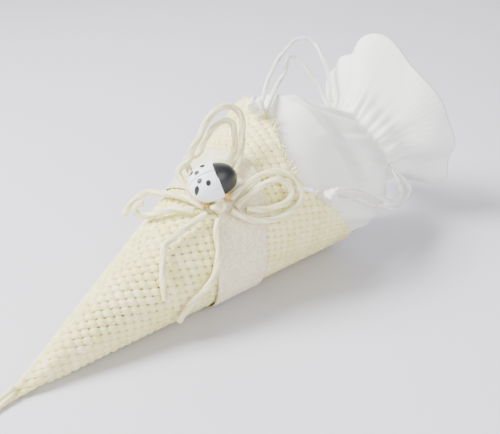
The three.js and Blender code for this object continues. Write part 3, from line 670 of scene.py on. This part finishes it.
@dataclass
class WovenCone:
    """The rolled straw mat: a plain weave of flat paper straws, slanting round the cone.

    The angles are those of the two sets of straws on the flat mat, the pitches are in millimetres.
    """

    row_angle: float = 44.0
    column_angle: float = 116.0
    row_pitch: float = 3.3
    column_pitch: float = 3.6
    swell: float = 0.58
    droop: float = 0.34
    hole: float = -1.9
    seam_angle: float = 172.0
    lengths_meet: tuple[float, float] = (104.0, 112.0)
    lining: float = 1.7

    def relief(self, slant: Points, angle: Points) -> tuple[Points, Points]:
        """Works out the height and tint of the weave.

        On the flat mat a place is i rows and j columns along two slanting directions. A straw that
        goes over is +cos, its crossing straw is -cos, each rounded across its width, and the higher
        one shows; where neither lies is a gap.

        Args:
            slant: Distances from the tip.
            angle: Angles about the axis.

        Returns:
            Heights in millimetres, and colours with painted shade on the low parts of the straws and
            painted shadow in the gaps.
        """
        turn = np.radians(angle) * math.sin(CONE.half)
        x, y = slant * np.cos(turn), slant * np.sin(turn)
        x = x + 0.7 * ripple(x / 11, y / 13, 0.7)
        y = y + 0.7 * ripple(x / 13, y / 10, 2.9)
        ra, ca = math.radians(self.row_angle), math.radians(self.column_angle)
        basis = np.array([[self.column_pitch * math.cos(ra), self.row_pitch * math.cos(ca)],
                          [self.column_pitch * math.sin(ra), self.row_pitch * math.sin(ca)]])
        inverse = np.linalg.inv(basis)
        i = inverse[0, 0] * x + inverse[0, 1] * y
        j = inverse[1, 0] * x + inverse[1, 1] * y
        ci, cj = np.floor(i), np.floor(j)
        u, v = i - ci - 0.5, j - cj - 0.5
        parity = 1.0 - 2.0 * ((ci + cj) % 2)
        row_half = 0.42 + 0.06 * hashed(cj, 3.0, 1.0)
        column_half = 0.33 + 0.07 * hashed(ci, 5.0, 2.0)
        row_droop = self.droop * np.minimum(np.abs(v) / row_half, 1.0) ** 4
        column_droop = self.droop * np.minimum(np.abs(u) / column_half, 1.0) ** 4
        row = 0.1 + parity * self.swell * np.cos(np.pi * u) - row_droop
        column = -parity * self.swell * np.cos(np.pi * v) - column_droop
        row = np.where(np.abs(v) < row_half, row, self.hole)
        column = np.where(np.abs(u) < column_half, column, self.hole)
        on_row = row > column
        height = np.maximum(row, column)
        folds = 0.07 * np.where(on_row, np.sin(v * 21 + 5 * hashed(cj, 1.0, 3.0)),
                                np.sin(u * 21 + 5 * hashed(ci, 2.0, 3.0)))
        scatter = hashed(np.where(on_row, cj, ci), np.where(on_row, 1.0, 7.0), 4.0)
        spot = hashed(ci, cj, 5.0)
        height = height + np.where(height > self.hole, folds + 0.1 * (spot - 0.5), 0.0)
        seam = bell(angle, self.seam_angle, 26.0)
        close = share(seam * 1.3)
        tip = share((44.0 - slant) / 30.0)
        height = height * (1 - 0.6 * np.maximum(close, tip))
        height += tip * 0.45 * np.sin(np.radians(angle) * 3 + slant * 0.22)
        # Painted shadow: where the wall drops into a gap between the straws, the colour turns to dark
        # olive.
        low = share((-0.42 - height) / 0.5) * (1 - 0.5 * close)
        shade = 0.93 + 0.1 * scatter - 0.06 * spot
        # Painted shade: the lower parts of the straws, where they dip under their neighbours, are
        # darkened.
        shade = shade * (1 - 0.24 * share(0.1 - height * 1.5))
        blue = shade ** 1.6 * (0.93 + 0.1 * scatter)
        warm = np.stack([shade, shade * (0.985 + 0.02 * spot), blue], axis=-1)
        # The dark olive painted into the gaps as shadow.
        gap_shadow_colour = np.array([0.3, 0.26, 0.11])
        return height, warm * (1 - low[..., None]) + gap_shadow_colour * low[..., None]

    def build(self) -> None:
        """Makes the wall in two lengths, the frayed rim and the twisted end of the tip."""
        self.wall("straw_wall_tip", 258, 360, 1.2, None)
        self.wall("straw_wall_mouth", 176, 520, self.lengths_meet[0], CONE.rim)
        self.frayed_rim()
        self.tip_ends()

    def wall(
        self, name: str, rows: int, columns: int, start: float, rim: Callable[[Points], Points] | None
    ) -> None:
        """Makes one length of the wall, turned in over the rim where it has one.

        Args:
            name: The piece's name.
            rows: Rows of points.
            columns: Columns of points.
            start: Slant of the first row.
            rim: The rim's slant for each angle, or None for the length from the tip to the ribbon.
        """
        angle = np.linspace(0.0, 360.0, columns, endpoint=False)[None]
        t = np.linspace(0.0, 1.0, rows)[:, None]
        end = self.lengths_meet[1] + 0 * angle
        if rim is not None:
            end = rim(angle) + 0.6 * ripple(angle / 3.1, 0 * angle, 0.3)
        slant = start + (end - start) * t
        height, tint = self.relief(slant, np.broadcast_to(angle, slant.shape))
        offset = height - self.swell
        if rim is not None:
            lip = np.linspace(0.0, 1.0, 5)[1:, None]
            back = np.linspace(0.0, 1.0, 16)[1:, None]
            slant = np.vstack([slant, end + 0.3 * np.sin(np.pi * lip), end - 22.0 * back])
            over = offset[-1:] * (1 - lip) - self.lining * lip
            offset = np.vstack([offset, over, -self.lining + 0 * back * angle])
            plain = np.ones((len(lip) + len(back), columns, 3)) * np.array([0.97, 0.95, 0.9])
            tint = np.concatenate([tint, plain])
        points = kept_above(CONE.place(slant, np.broadcast_to(angle, slant.shape), offset), 0.0)
        obj = grid_piece(name, points, ends=Ends.OPEN if rim else Ends.BOTH, tint=tint)
        if rim is None:
            turn_outwards(obj)
        else:
            obj.data.flip_normals()
        dress(obj, STRAW, "woven_cone")

    def frayed_rim(self) -> None:
        """Sets the cut ends of the straws round the rim: short bent tapes that taper."""
        count = 230
        k = np.arange(count)
        angle = 360.0 * (k + 2.6 * (hashed(k, 1.0, 1.0) - 0.5)) / count
        length = 0.7 + 2.4 * hashed(k, 2.0, 2.0) ** 2
        length = length + 1.2 * bell(angle, 20.0, 40.0) * hashed(k, 7.0, 2.0)
        lean = (hashed(k, 3.0, 3.0) - 0.5) * 6.0
        lift = (hashed(k, 4.0, 4.0) - 0.4) * 2.4
        width = 0.35 + 0.7 * hashed(k, 5.0, 5.0) ** 1.5
        t = np.array([-0.6, 0.15, 0.6, 1.0])
        side = np.array([-1.0, 0.0, 1.0, 0.0])
        bulge = np.array([0.0, 0.16, 0.0, -0.16])
        per_degree = CONE.rim(angle) * math.sin(CONE.half) * math.pi / 180
        tt, ss = t[None, :, None], side[None, None, :]
        free = share(tt)
        slant = CONE.rim(angle)[:, None, None] + length[:, None, None] * tt + 0 * ss
        taper = 1 - 0.65 * free
        shift = lean[:, None, None] * free + width[:, None, None] * ss * taper
        around = shift / per_degree[:, None, None]
        offset = -0.9 + lift[:, None, None] * free ** 2 + bulge[None, None, :]
        points = kept_above(CONE.place(slant, angle[:, None, None] + around, offset), 0.02)
        faces, each = [], len(t) * len(side)
        for base in range(0, count * each, each):
            for r in range(base, base + each - 4, 4):
                faces += [[r + c, r + (c + 1) % 4, r + 4 + (c + 1) % 4, r + 4 + c] for c in range(4)]
            faces.append([base + 3, base + 2, base + 1, base])
            faces.append([base + 12, base + 13, base + 14, base + 15])
        bright = np.repeat(0.96 + 0.1 * hashed(k, 6.0, 6.0), each)
        tint = bright[:, None] * np.array([1, 0.99, 0.94])
        obj = turn_outwards(mesh_piece("straw_rim_ends", points.reshape(-1, 3), faces, tint))
        dress(obj, STRAW)

    def tip_ends(self) -> None:
        """Rolls the two stubs of paper that stick out of the pinched tip."""
        routes = {
            "tip_stub_left": [
                (-141, 0.2, 4.2), (-146, 0.6, 2.6), (-150.5, 0.9, 1.8), (-154.0, 1.6, 1.6),
            ],
            "tip_stub_right": [
                (-142, -0.8, 2.6), (-147, -1.4, 1.6), (-151, -2.2, 1.2), (-153.6, -3.0, 1.3),
            ],
        }
        for name, route in routes.items():
            path = smooth_route(np.array(route, float), 0.4)
            p = ring_angles(16)
            s = np.linspace(0.0, 1.0, len(path))[:, None]
            radius = (1.35 - 0.45 * s) * (0.85 + 0.15 * np.abs(np.cos(1.5 * (p - 6 * s))))
            rings = kept_above(tube_rings(path, radius), 0.0)
            tint = np.ones((*rings.shape[:2], 3)) * (0.85 + 0.06 * np.cos(3 * p)[..., None])
            obj = turn_outwards(grid_piece(name, rings, ends=Ends.BOTH, tint=tint))
            dress(obj, STRAW)


@dataclass
class RibbonBand:
    """The grosgrain ribbon round the cone, ribbed across, with plain woven edges."""

    width: float = 24.8
    thickness: float = 0.5
    rib: float = 1.05
    mean_radius: float = 27.5
    stands_off: float = 1.12

    def build(self) -> bpy.types.Object:
        """Ribs the band: height is a sine along its length, flattened to nothing at the edges.

        Returns:
            The ribbon.
        """
        columns, rows = 1040, 27
        angle = np.linspace(0.0, 360.0, columns, endpoint=False)[None]
        t = np.linspace(0.0, 1.0, rows)[:, None]
        slant = CONE.ribbon_edge(angle) + self.width * t
        along = np.radians(angle) * self.mean_radius
        inner_edge = np.minimum(t, 1 - t) * self.width
        rib = np.cos(2 * np.pi * along / self.rib)
        ribs = 0.085 * rib * share(inner_edge / 1.2 - 0.6)
        selvage = 0.1 * np.exp(-(((inner_edge - 2.6) / 0.35) ** 2))
        wobble = 0.16 * ripple(np.radians(angle) * 5 + 0 * t, t * 4 + 0 * angle, 1.1)
        top = self.stands_off + ribs - selvage + wobble
        outer = kept_above(CONE.place(slant, angle + 0 * t, top), 0.03)
        inner = kept_above(CONE.place(slant, angle + 0 * t, top - self.thickness), 0.5)
        rings = np.concatenate([outer, inner[::-1]])
        # Painted light and shade: lighter on the crests of the ribs, darker between them and in the
        # groove by the selvage.
        shade = 0.95 + 0.05 * rib - 0.7 * selvage + 0 * t
        tint = np.stack([shade, shade, shade * 0.99], axis=-1)
        # Painted shade: the face that lies against the cone is darker.
        tint = np.concatenate([tint, tint[::-1] * 0.9])
        obj = grid_piece("grosgrain_ribbon", rings, tint=tint, cloth=(172.0, 50.0))
        close_ring(obj, columns, len(rings))
        dress(turn_outwards(obj), GROSGRAIN, "ribbon_band")
        return obj


def close_ring(obj: bpy.types.Object, columns: int, rows: int) -> None:
    """Joins the last row of a wrapped grid to its first, so the band's section is closed.

    Args:
        obj: The grid piece.
        columns: Columns in the grid.
        rows: Rows in the grid.
    """
    work = bmesh.new()
    work.from_mesh(obj.data)
    work.verts.ensure_lookup_table()
    last = (rows - 1) * columns
    for c in range(columns):
        n = (c + 1) % columns
        face = work.faces.new([work.verts[k] for k in (last + c, c, n, last + n)])
        face.smooth = True
    work.to_mesh(obj.data)
    work.free()


@dataclass
class MuslinPouch:
    """The muslin bag in the cone's mouth: a full shoulder, a gathered throat and a flared ruffle.

    Lengths are in millimetres. The front of the shoulder is drawn in by the share `pinch`, most at a
    distance beyond the mouth, over a reach, with a bell curve's middle and spread in degrees.
    """

    mouth: float = CONE.side * math.cos(CONE.half) - 3.0
    clearance: float = 3.9
    sag_angle: float = 136.0
    throat: float = 42.0
    ruffle: float = 33.0
    wall: float = 1.4
    pinch: float = 0.22
    pinch_distance: float = 8.0
    pinch_reach: float = 22.0
    pinch_bell: tuple[float, float] = (75.0, 45.0)
    free: int = 2

    def room(self, x: Points | float) -> Points | float:
        """The width of the room inside the cone, at a distance beyond the mouth."""
        return 2 * ((self.mouth + x) * math.tan(CONE.half) - self.clearance / math.cos(CONE.half))

    def folds(self, t: Points) -> Points:
        """The gathers round the bag: three cosines, of 8, 5 and 3 folds."""
        narrow = 0.3 * np.cos(8 * t + 1.1 * np.sin(2 * t))
        return narrow + 0.45 * np.cos(5 * t + 1) + 0.35 * np.cos(3 * t - 0.7)

    def section(self, x: Points, t: Points, thin: float, edge: Points) -> Points:
        """Points of the bag's skin.

        Each ring is an ellipse about a sagging centre, swollen by uneven broad folds with
        finer ones between them, which grow from the shoulder to the throat and the ruffle. It
        fills the cone up to the rim, goes over in an even bulge from there to the first free
        station, and follows the stations beyond it. Its front is drawn in.

        Args:
            x: Distance beyond the mouth along the axis.
            t: Angle round the ring, from the side that sags.
            thin: Distance inside the outer skin.
            edge: How far the ruffle's edge waves, from 0 inside to 1 at the edge.

        Returns:
            The points in millimetres.
        """
        full = self.room(0.0)
        at = np.array([-4.0, 3.0, 14.0, 23.0, 30.0, 37.0, 42.0, 48.0, 57.0, 66.0, 75.0])
        width = np.array(
            [full - 1, full - 0.5, full - 1, full - 8, full - 17, 46.5, 40, 43, 50.8, 70.5, 82]
        )
        depth = np.array(
            [full - 1, full - 4, full - 12, full - 20, full - 30, 33, 27, 32, 37.5, 56.3, 67]
        )
        sag = np.array([0.0, 1.8, 5.5, 9, 11.2, 11.7, 11, 10.5, 10, 9.5, 9])
        depth_of_fold = np.array([0, 0.0, 0.01, 0.03, 0.06, 0.09, 0.12, 0.12, 0.12, 0.12, 0.12])
        rim = CONE.rim(np.degrees(t) + self.sag_angle) * math.cos(CONE.half) - self.mouth
        out = share((x - rim) / (at[self.free] - rim))
        bulge = 1.2 * np.sin(np.pi * out)
        wide, deep = (
            np.where(
                out < 1,
                self.room(rim) + (line[self.free] - self.room(rim)) * out + bulge,
                eased(x, at, line),
            )
            for line in (width, depth)
        )
        wide, deep = (np.where(out > 0, size, self.room(x)) for size in (wide, deep))
        sink = np.where(out < 1, sag[self.free] * out, eased(x, at, sag))
        fold = np.where(out < 1, depth_of_fold[self.free] * out, eased(x, at, depth_of_fold))
        beyond = x - self.throat
        fine = 0.3 * np.cos(21 * t + 2.4 * np.sin(3 * t + 0.6))
        fine = fine + 0.2 * np.cos(34 * t + 2.6 * np.sin(5 * t + 1.0))
        crease = np.exp(-((np.maximum(beyond, 0.0) / 11.0) ** 2))
        crease = share((x + 8.0) / 48.0) * crease
        limp = ripple(t * 2.3 + x / 26.0, x / 12.0 - t, 4.1)
        soft = 0.036 * ripple(x / 8.0 + 1.1 * t, t * 3.1 - x / 19.0, 0.9)
        soft = soft + 0.012 * ripple(x / 3.3 - 1.7 * t, t * 7.3 + x / 9.0, 2.2)
        soft = soft + 0.05 * share(beyond / 20.0) * limp
        soft = soft * share(2.0 * out)
        pleat = np.cos(12 * t + 1.6 * np.sin(3 * t + 0.6) + x / 14)
        pleat = pleat + 0.5 * np.cos(23 * t - 1.2 * np.sin(2 * t) + x / 9)
        swell = 1 + fold * self.folds(t) + fold * fine * crease + soft + 0.03 * crease * pleat
        gather = 1 - 0.035 * np.exp(-(((beyond - 1.0) / 2.2) ** 2))
        drawn = np.exp(-(((x - self.pinch_distance) / self.pinch_reach) ** 2))
        gather = gather - self.pinch * drawn * bell(np.degrees(t), *self.pinch_bell)
        across = (wide / 2 * swell * gather - thin) * np.cos(t)
        level = (deep / 2 * swell * gather - thin) * np.sin(t)
        waves = 3.0 * self.folds(t + 0.21) + 0.8 * ripple(t * 4.3, t * 2.1, 0.5)
        wave = edge * (waves + 0.12 * np.cos(83 * t))
        return (np.array(CONE.tip) + (self.mouth + x + wave)[..., None] * CONE.axis
                + (sink + across)[..., None] * CONE.radial(self.sag_angle)
                + level[..., None] * CONE.radial(self.sag_angle - 90.0))

    def build(self) -> bpy.types.Object:
        """Makes the skin from inside the cone over the ruffle's edge and back into the throat.

        Returns:
            The pouch, a gathered sheet.
        """
        t = ring_angles(400)
        end = self.throat + self.ruffle
        hidden, shown = np.linspace(-34.0, -4.0, 22, endpoint=False), np.linspace(-4.0, end, 132)
        outside = np.concatenate([hidden, shown])[:, None]
        inside = np.linspace(end, self.throat + 6.0, 52)[1:, None]
        edge_out = share((outside - end + 20) / 20) ** 1.5
        edge_in = share((inside - end + 20) / 20) ** 1.5
        skin = self.section(outside + 0 * t, t + 0 * outside, 0.0, edge_out + 0 * t)
        close = share((self.throat + 20 - inside) / 14.0)
        lining = self.section(inside + 0 * t, t + 0 * inside, self.wall, edge_in + 0 * t)
        core = lining.mean(axis=1, keepdims=True)
        lining = core + (lining - core) * (1 - 0.75 * close[..., None])
        points = kept_above(np.concatenate([skin, lining]), 0.3)
        reach = np.concatenate([outside, inside])
        # Painted light and shade: lighter on the crests of the gathers, darker in their hollows.
        shade = 0.985 + 0.02 * self.folds(t) * share((reach - 20) / 20)
        # Painted shade in the gathered throat, where the drawstring pulls the cloth in.
        shade = shade * (1 - 0.12 * np.exp(-(((reach - self.throat - 1) / 3.0) ** 2)))
        tint = np.stack([shade, shade, shade], axis=-1)
        obj = grid_piece("muslin_pouch_skin", points, ends=Ends.LAST, tint=tint, cloth=(250.0, 170.0))
        obj.data.flip_normals()
        thick = obj.modifiers.new("cloth", "SOLIDIFY")
        thick.thickness = 0.00045
        thick.offset = -1.0
        dress(obj, MUSLIN, "drawstring_pouch")
        return obj


@dataclass(frozen=True)
class KnotPiece:
    """An overhand knot pulled tight; lengths in millimetres, with the angle that it lies on."""

    name: str
    node: str
    make: Lay
    centre: tuple[float, float, float]
    size: tuple[float, float, float]
    lift: float

    def build(self) -> bpy.types.Object:
        """Follows the trefoil: sin t + 2 sin 2t, cos t - 2 cos 2t, -sin 3t, scaled to the knot.

        Returns:
            The knot.
        """
        t = np.linspace(0.0, 2 * np.pi, 150)
        thick = self.make.value.knotted
        loops = [np.sin(t) + 2 * np.sin(2 * t), np.cos(t) - 2 * np.cos(2 * t), -3 * np.sin(3 * t)]
        local = np.stack(loops, -1) / 3 * (np.array(self.size) - thick) / 2
        up = CONE.outward(self.lift)
        side = np.cross(up, CONE.axis)
        path = np.array(self.centre) + local @ np.array([CONE.axis, side, up])
        s = np.linspace(0.0, 40.0, len(path))[:, None]
        groove = np.abs(np.cos(1.5 * (ring_angles(16) - 0.25 * s)))
        rings = tube_rings(path, thick / 2 * (0.84 + 0.16 * groove ** 0.6))
        # Painted shade: the colour is darkened in the grooves between the strands.
        shade = 0.76 + 0.24 * groove ** 0.5
        tint = np.stack([shade, shade, shade ** 1.2], -1)
        obj = turn_outwards(grid_piece(self.name, rings, ends=Ends.BOTH, tint=tint))
        return dress(obj, self.make.value.finish, self.node)


@dataclass
class LadybirdButton:
    """The wooden ladybird: white spotted wing cases, a groove between them and a black head.

    Lengths are in millimetres, angles in degrees. Spots are given as shares of half its length and
    half its width.
    """

    slant: float = 117.5
    angle: float = 19.0
    turn: float = 32.0
    lift: float = 6.2
    length: float = 20.5
    width: float = 17.0
    height: float = 9.0
    side_wall: float = 0.9
    spot: float = 1.12
    spots: tuple[tuple[float, float], ...] = (
        (-0.25, 0.5), (-0.55, 0.22), (-0.75, 0.45), (-0.25, -0.5), (-0.55, -0.22), (-0.75, -0.45),
    )
    black: tuple[float, float, float] = (0.012, 0.012, 0.014)

    def dome(self, x: Points, y: Points, rise: Points) -> Points:
        """Places the button's own axes (along, across, up) on the cone."""
        up = CONE.outward(self.angle)
        side = np.cross(up, CONE.axis)
        along = np.cross(side, up)
        c, s = math.cos(math.radians(self.turn)), math.sin(math.radians(self.turn))
        along, side = c * along - s * side, c * side + s * along
        base = CONE.place(self.slant, self.angle, self.lift)
        return base + x[..., None] * along + y[..., None] * side + rise[..., None] * up

    def build(self) -> None:
        """Makes the wing cases and the head as flat-backed domes, and the glue under them."""
        self.shell("button_wing_cases", -1.0, 0.28, 0.0)
        self.shell("button_head", 0.22, 1.0, 0.4)
        self.glue()

    def shell(self, name: str, start: float, stop: float, swell: float) -> None:
        """Makes one end of the button.

        Over the oval x^2 + y^2 = 1, blunter at the head, the height is (1 - x^2 - y^2)^0.425, with a
        groove along the middle and a seam where the head begins.

        Args:
            name: The piece's name.
            start: Where it begins, as a share of half the length.
            stop: Where it ends.
            swell: How far it stands proud, in millimetres.
        """
        rows, columns = 120, 160
        f = np.linspace(0.0, 1.0, rows)[:, None]
        q = np.linspace(-1.0, 1.0, columns)[None]
        x = start + (stop - start) * (1 - np.cos(np.pi * f)) / 2 + 0 * q
        head = stop >= 1.0
        bow = x - 0.1 * (1 - q ** 2) * (1 - f if head else f)
        bow = np.clip(bow, -0.9995, 0.9995)
        blunt = np.where(bow > 0, np.abs(bow) ** 2.7, bow ** 2)
        half = np.sqrt(1 - blunt)
        y = np.sin(np.pi / 2 * q) * half
        rise = np.sqrt(share(1 - blunt - y ** 2))
        narrow = (1 - 0.17 * bow) * (0.84 if head else 1.0)
        groove = 0.0 if head else 0.35 * np.exp(-((y / 0.035) ** 2))
        seam = 0.5 * np.exp(-(((f - (0.0 if head else 1.0)) / 0.05) ** 2))
        along, across = bow * self.length / 2, y * narrow * self.width / 2
        crown = rise ** 0.85 * (self.height - self.side_wall + swell)
        top = self.dome(along, across, self.side_wall + crown - (groove + seam) * rise)
        low = self.dome(along, across, 0 * y)
        points = np.concatenate([top, low[:, ::-1]], axis=1)
        dark = np.ones(y.shape)
        if not head:
            dark = share(1.4 - np.abs(y) / 0.02) * 0.75
            for sx, sy in self.spots:
                far = np.hypot((bow - sx) * self.length / 2, (y - sy) * self.width / 2)
                dark = np.maximum(dark, share((self.spot - far) / 0.12))
        tint = 1 - dark[..., None] + np.array(self.black) * dark[..., None]
        tint = np.concatenate([tint, tint[:, ::-1]], axis=1)
        obj = turn_outwards(grid_piece(name, points, ends=Ends.BOTH, tint=tint))
        dress(obj, ENAMEL, "ladybird_button")

    def glue(self) -> None:
        """Pools the glue under the button, with two beads that have run out at its lower edge."""
        p = ring_angles(64)
        f = np.linspace(0.0, 1.0, 20)[:, None]
        beads = 4.4 * bell(np.degrees(p), 300.0, 22.0) + 5.2 * bell(np.degrees(p), 222.0, 20.0)
        reach = (3.6 + beads) * (1 + 0.16 * np.sin(np.pi * f))
        rise = -4.7 + 4.5 * f
        points = self.dome(reach * np.cos(p), reach * np.sin(p), rise + 0 * p)
        obj = turn_outwards(grid_piece("glue_pool", points, ends=Ends.BOTH))
        dress(obj, GLUE, "glue_dab")


def metres(*points: tuple[int, int, int]) -> tuple[tuple[float, float, float], ...]:
    """Turns points written in tenths of a millimetre into metres."""
    return tuple((x / TENTHS, y / TENTHS, z / TENTHS) for x, y, z in points)


CORDS: tuple[CordPiece, ...] = (
    CordPiece("bow_loop_upper_outer", Lay.TWINE, "object", metres(
        (-511, -124, 506), (-516, -90, 516), (-520, -51, 525), (-517, -5, 534), (-508, 33, 551),
        (-501, 62, 579), (-464, 30, 632), (-466, 10, 686), (-449, -13, 732), (-421, -14, 772),
        (-381, -16, 809), (-331, -25, 830), (-287, -40, 827), (-260, -61, 800), (-266, -84, 757),
        (-286, -98, 714), (-302, -110, 674), (-308, -108, 634), (-329, -115, 602),
        (-362, -127, 583),
    )),
    CordPiece("bow_loop_upper_inner", Lay.TWINE, "object", metres(
        (-475, -124, 521), (-483, -103, 529), (-488, -73, 537), (-486, -37, 546), (-472, 5, 562),
        (-457, 47, 587), (-451, 69, 613), (-414, 26, 646), (-408, 2, 700), (-388, -20, 746),
        (-346, -27, 769), (-310, -39, 774), (-294, -55, 759), (-302, -70, 726), (-304, -77, 689),
        (-305, -74, 656), (-324, -75, 626), (-353, -84, 604), (-375, -94, 588),
    )),
    CordPiece("bow_loop_right_outer", Lay.TWINE, "object", metres(
        (-448, -180, 510), (-394, -183, 536), (-343, -199, 560), (-299, -224, 583),
        (-254, -259, 590), (-220, -295, 573), (-196, -324, 538), (-197, -341, 494),
        (-223, -342, 453), (-271, -328, 430), (-329, -307, 417), (-383, -283, 420),
        (-430, -254, 437), (-458, -221, 459), (-469, -201, 471),
    )),
    CordPiece("bow_loop_right_inner", Lay.TWINE, "object", metres(
        (-445, -204, 480), (-406, -208, 501), (-358, -225, 526), (-312, -249, 552),
        (-271, -276, 563), (-238, -304, 539), (-233, -322, 505), (-260, -319, 475),
        (-306, -299, 461), (-354, -277, 460), (-393, -257, 466), (-417, -237, 472),
    )),
    CordPiece("bow_tail_left", Lay.TWINE, "bare", metres(
        (-551, -143, 466), (-592, -126, 451), (-651, -112, 426), (-705, -100, 403),
        (-742, -97, 385), (-774, -118, 353), (-804, -144, 312), (-825, -166, 268),
        (-834, -184, 215),
    )),
    CordPiece("bow_tail_front", Lay.TWINE, "bare", metres(
        (-525, -182, 449), (-547, -192, 424), (-567, -210, 390), (-578, -229, 347),
        (-597, -240, 299), (-621, -242, 251), (-659, -235, 210), (-709, -222, 177),
        (-751, -206, 134), (-775, -189, 94),
    )),
    CordPiece("bow_tail_back", Lay.TWINE, "bare", metres(
        (-538, -114, 488), (-547, -81, 496), (-551, -43, 503), (-555, 2, 505), (-556, 61, 497),
        (-544, 121, 481), (-553, 183, 470), (-580, 204, 463), (-605, 218, 447), (-635, 228, 418),
        (-663, 234, 384),
    )),
    CordPiece("bow_tail_curl", Lay.TWINE, "bare", metres(
        (-571, -95, 478), (-593, -64, 477), (-610, -27, 475), (-635, 7, 464), (-659, 41, 449),
        (-668, 80, 434), (-687, 107, 435), (-693, 126, 456), (-677, 121, 474), (-659, 106, 479),
    )),
    CordPiece("left_drawstring_outer", Lay.STRING, "object", metres(
        (634, 104, 604), (657, 132, 634), (689, 159, 677), (718, 198, 736), (741, 249, 796),
        (747, 294, 846), (718, 332, 879), (654, 347, 880), (505, 291, 874), (385, 246, 856),
        (275, 194, 834), (168, 139, 812), (75, 80, 788), (-9, 28, 768), (-36, 12, 760),
    )),
    CordPiece("left_drawstring_inner", Lay.STRING, "object", metres(
        (551, 54, 601), (559, 92, 633), (564, 125, 676), (569, 158, 717), (562, 197, 758),
        (555, 237, 798), (540, 271, 823), (494, 274, 828), (410, 223, 810), (310, 160, 804),
        (192, 94, 802), (80, 39, 780), (-9, -5, 754), (-34, -18, 746),
    )),
    CordPiece("right_drawstring_outer", Lay.STRING, "object", metres(
        (607, -277, 369), (646, -332, 301), (660, -365, 253), (571, -390, 218), (456, -404, 225),
        (326, -413, 278), (191, -403, 349), (102, -400, 393), (23, -398, 420), (-16, -396, 434),
    )),
    CordPiece("right_drawstring_inner", Lay.STRING, "object", metres(
        (544, -326, 374), (548, -372, 316), (542, -386, 280), (470, -410, 264), (356, -426, 306),
        (219, -406, 380), (122, -396, 422), (43, -392, 450), (-8, -384, 463),
    )),
    CordPiece("knot_end_upper", Lay.STRING, "bare", metres(
        (-121, -348, 484), (-145, -325, 492), (-179, -309, 494),
    )),
)


KNOTS: tuple[KnotPiece, ...] = (
    KnotPiece("bow_knot_turns", "bow_knot", Lay.TWINE, (-50.3, -16.4, 49.3), (8.6, 6.6, 5.6), 33.0),
    KnotPiece("left_string_knot", "left_drawstring_knot", Lay.STRING,
              (-8.4, -0.3, 77.2), (8.6, 7.2, 8.2), 0.0),
    KnotPiece("right_string_knot", "right_drawstring_knot", Lay.STRING,
              (-4.9, -38.8, 45.4), (7.2, 5.6, 5.6), 80.0),
)


def main() -> None:
    """Builds every sub-assembly in order."""
    logging.basicConfig(level=logging.INFO, format="%(message)s")
    Studio().build()
    for cord in CORDS:
        cord.build()
    WovenCone().build()
    RibbonBand().build()
    MuslinPouch().build()
    for knot in KNOTS:
        knot.build()
    LadybirdButton().build()


if __name__ == "__main__":
    main()
